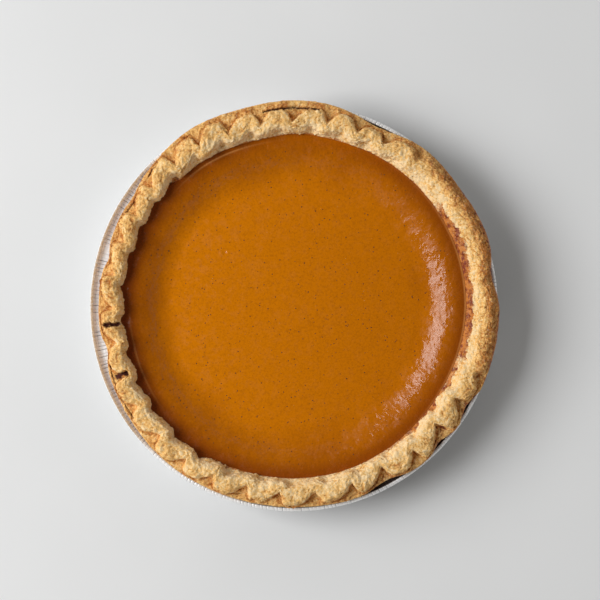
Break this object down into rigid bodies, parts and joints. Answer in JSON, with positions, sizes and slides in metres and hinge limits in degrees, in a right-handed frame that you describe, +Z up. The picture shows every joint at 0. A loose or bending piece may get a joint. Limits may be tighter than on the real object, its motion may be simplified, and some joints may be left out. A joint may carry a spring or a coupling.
{
  "type": "pumpkin pie in a foil tin",
  "caption": "Round baked pumpkin pie: a smooth sunken custard filling in a pastry case with a crimped rim, standing in a shallow pleated foil tin with a rolled edge.",
  "frame": {"origin": "centre of the underside of the foil tin's flat base", "axes": "+Z up through the pie. +X is the picture's right, towards the side of the rim whose crimps have slumped into a plain roll. +Y is the picture's top, towards the torn lip."},
  "size_m": [0.2305, 0.2314, 0.0414],
  "materials": {
    "foil": "bright thin foil, pleated and slightly crumpled",
    "pastry": "dry baked pastry, matt, browned on its edges",
    "custard": "set pumpkin custard, satin, with a slight gloss"
  },
  "bodies": {
    "root": {"foil_tin": "foil", "pastry_case": "pastry", "pumpkin_filling": "custard"}
  },
  "joints": []
}
